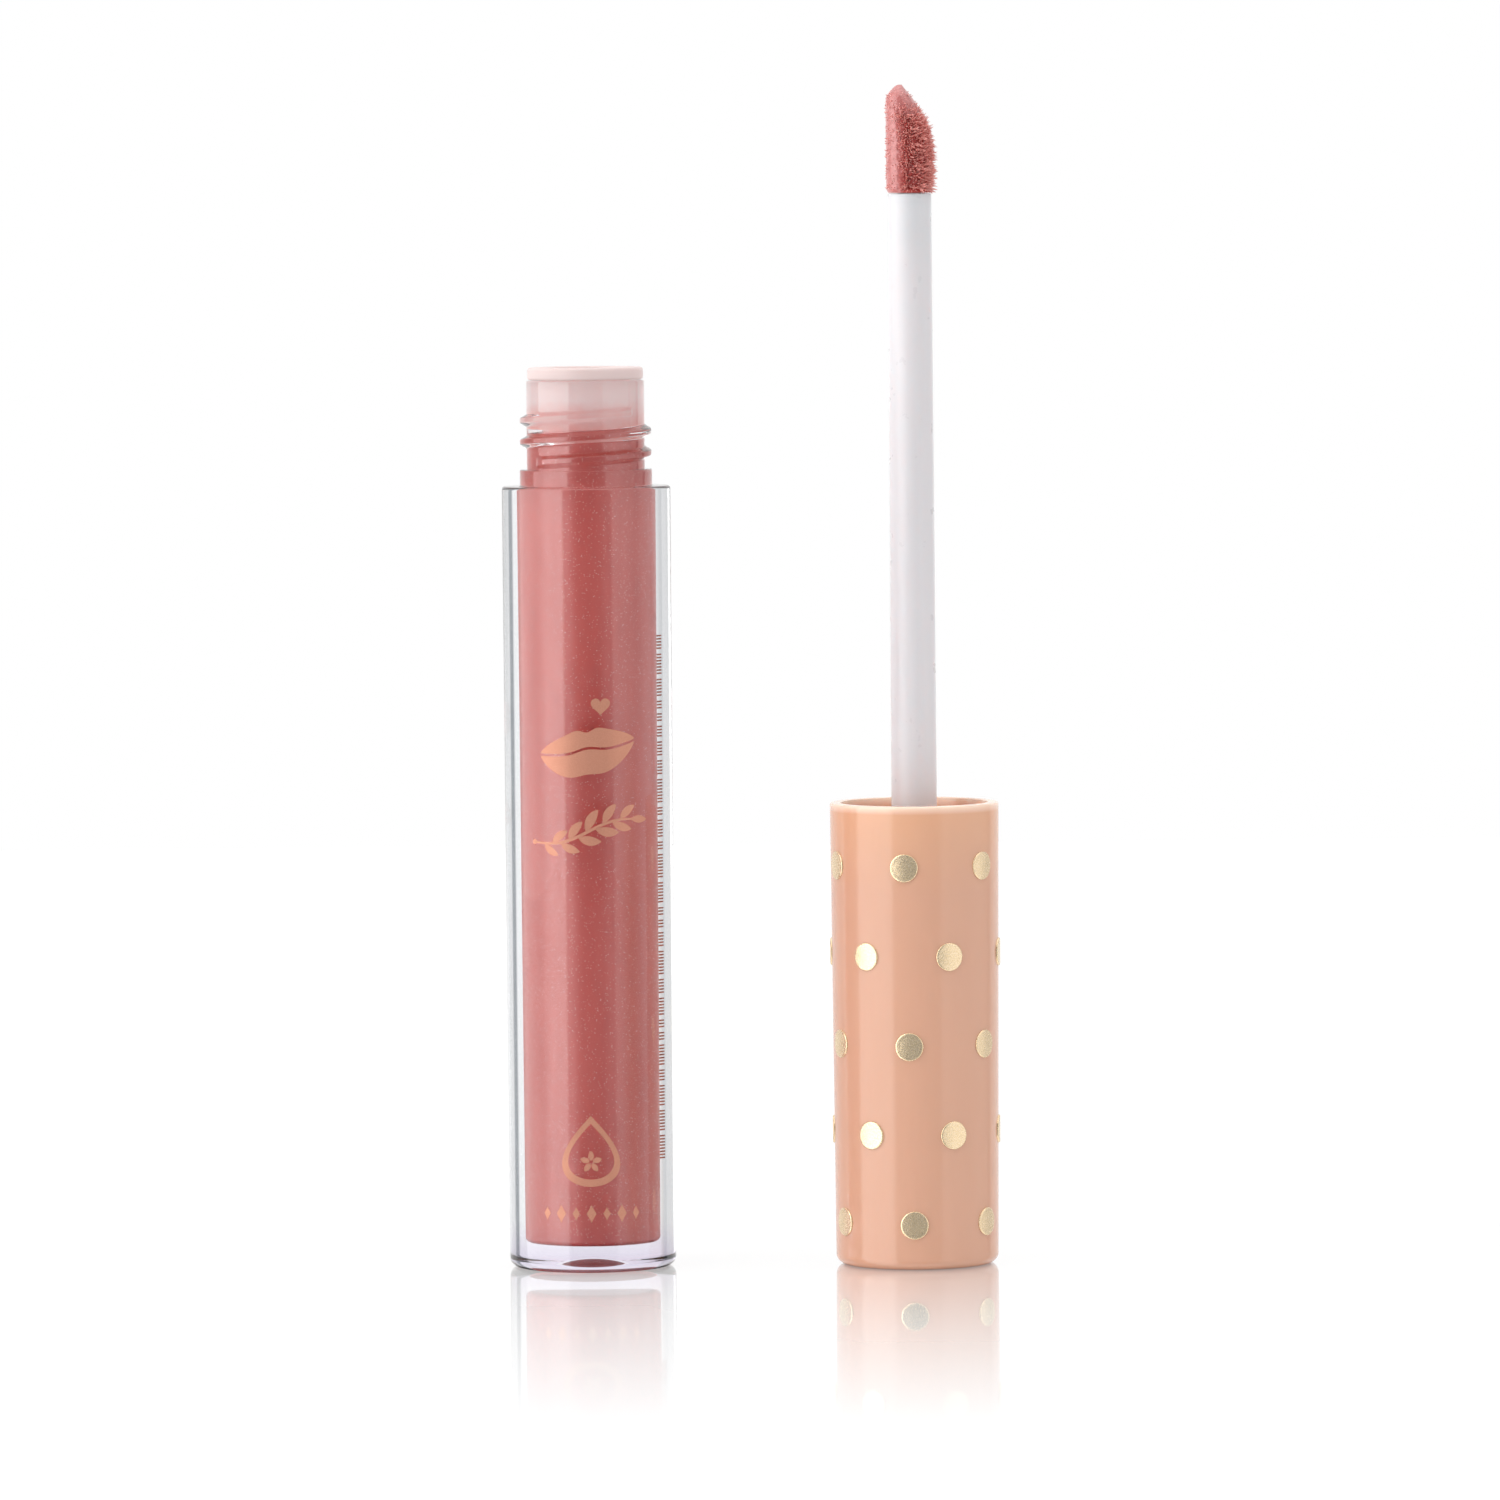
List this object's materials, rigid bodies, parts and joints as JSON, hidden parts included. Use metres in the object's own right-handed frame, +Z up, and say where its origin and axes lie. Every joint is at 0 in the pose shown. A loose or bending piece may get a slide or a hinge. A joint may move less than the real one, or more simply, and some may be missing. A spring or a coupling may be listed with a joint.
{
  "type": "lip gloss tube",
  "caption": "Opened lip gloss tube: a clear threaded bottle filled with gloss, and its dotted screw cap with a flocked wand, standing beside it.",
  "frame": {"origin": "on the table, midway between the outsides of the bottle and the cap", "axes": "+Z up along both axes, +X from the bottle towards the cap, +Y away from the side that is looked at"},
  "size_m": [0.0475, 0.0164, 0.1131],
  "materials": {
    "clear_plastic": "clear, polished",
    "gloss_liquid": "thick pearly liquid",
    "milky_plastic": "translucent satin",
    "label_film": "satin film",
    "peach_plastic": "polished moulded plastic",
    "liner_plastic": "satin moulded plastic",
    "seal_foam": "soft closed-cell foam",
    "gold_foil": "hot-stamped metallic foil",
    "print_foil": "thin printed rose-gold foil",
    "stem_plastic": "satin translucent white",
    "flock_fibre": "short flock wet with gloss"
  },
  "bodies": {
    "bottle": {"bottle": "clear_plastic", "base_label": "label_film", "gloss": "gloss_liquid", "wiper": "milky_plastic"},
    "seal": {"sealing_washer": "seal_foam"},
    "cap": {"cap_shell": "peach_plastic", "inner_cap": "liner_plastic", "wand_stem": "stem_plastic", "applicator_core": "milky_plastic", "flocking": "flock_fibre", "foil_dot_1_1": "gold_foil", "foil_dot_1_2": "gold_foil", "foil_dot_1_3": "gold_foil", "foil_dot_1_4": "gold_foil", "foil_dot_1_5": "gold_foil", "foil_dot_1_6": "gold_foil", "foil_dot_2_1": "gold_foil", "foil_dot_2_2": "gold_foil", "foil_dot_2_3": "gold_foil", "foil_dot_2_4": "gold_foil", "foil_dot_2_5": "gold_foil", "foil_dot_2_6": "gold_foil", "foil_dot_3_1": "gold_foil", "foil_dot_3_2": "gold_foil", "foil_dot_3_3": "gold_foil", "foil_dot_3_4": "gold_foil", "foil_dot_3_5": "gold_foil", "foil_dot_3_6": "gold_foil", "foil_dot_4_1": "gold_foil", "foil_dot_4_2": "gold_foil", "foil_dot_4_3": "gold_foil", "foil_dot_4_4": "gold_foil", "foil_dot_4_5": "gold_foil", "foil_dot_4_6": "gold_foil", "foil_dot_5_1": "gold_foil", "foil_dot_5_2": "gold_foil", "foil_dot_5_3": "gold_foil", "foil_dot_5_4": "gold_foil", "foil_dot_5_5": "gold_foil", "foil_dot_5_6": "gold_foil"}
  },
  "joints": [
    {"name": "cap_turnover", "type": "hinge", "parent": "bottle", "child": "seal", "pos_m": [-0.00001, 0, 0.10122], "axis": [0, -1, 0], "range_deg": [0, 180]},
    {"name": "cap_twist", "type": "hinge", "parent": "seal", "child": "cap", "pos_m": [0.01559, 0, 0.04], "axis": [0, 0, 1], "continuous": true}
  ]
}
